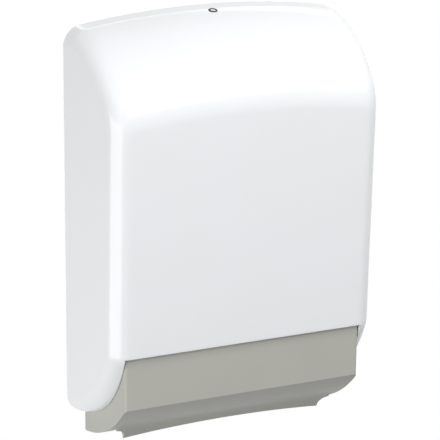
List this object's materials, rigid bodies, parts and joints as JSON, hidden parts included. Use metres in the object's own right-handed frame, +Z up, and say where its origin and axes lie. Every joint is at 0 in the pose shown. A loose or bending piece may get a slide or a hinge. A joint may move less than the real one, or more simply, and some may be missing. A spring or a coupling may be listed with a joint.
{
  "type": "wall dispenser for folded paper towels",
  "caption": "Slim wall dispenser for folded paper towels: swing-down cover with a key lock on top, and an outlet chute with an arched lip.",
  "frame": {"origin": "centre of the four wall screw holes, on the wall plane", "axes": "+X across the dispenser, -Y out of the wall towards the user, +Z up"},
  "size_m": [0.275, 0.1094, 0.405],
  "materials": {
    "white_cover": "gloss",
    "grey_chute": "satin",
    "grey_inner": "satin",
    "nylon": "satin",
    "dark_lock": "satin",
    "bright_lock": "polished",
    "zinc_steel": "satin"
  },
  "bodies": {
    "base": {"wall_plate": "grey_inner", "outlet_chute": "grey_chute", "towel_ramp": "grey_chute", "side_guide_left": "grey_inner", "side_guide_right": "grey_inner", "hinge_pin_left": "zinc_steel", "hinge_pin_right": "zinc_steel", "lock_catch": "zinc_steel", "chute_screws": "zinc_steel", "ramp_screws": "zinc_steel", "guide_screws": "zinc_steel", "catch_screws": "zinc_steel"},
    "cover": {"front_cover": "white_cover", "hinge_bush_left": "nylon", "hinge_bush_right": "nylon", "lock_housing": "dark_lock", "lock_washer": "zinc_steel", "lock_nut": "zinc_steel"},
    "lock": {"lock_barrel": "bright_lock", "lock_cam": "zinc_steel", "cam_screw": "zinc_steel"}
  },
  "joints": [
    {"name": "cover_swing", "type": "hinge", "parent": "base", "child": "cover", "pos_m": [0, -0.014, -0.192], "axis": [1, 0, 0], "range_deg": [0, 100]},
    {"name": "lock_turn", "type": "hinge", "parent": "cover", "child": "lock", "pos_m": [0, -0.023, 0.17572], "axis": [0, -0.1792, 0.9838], "range_deg": [-90, 0]}
  ]
}
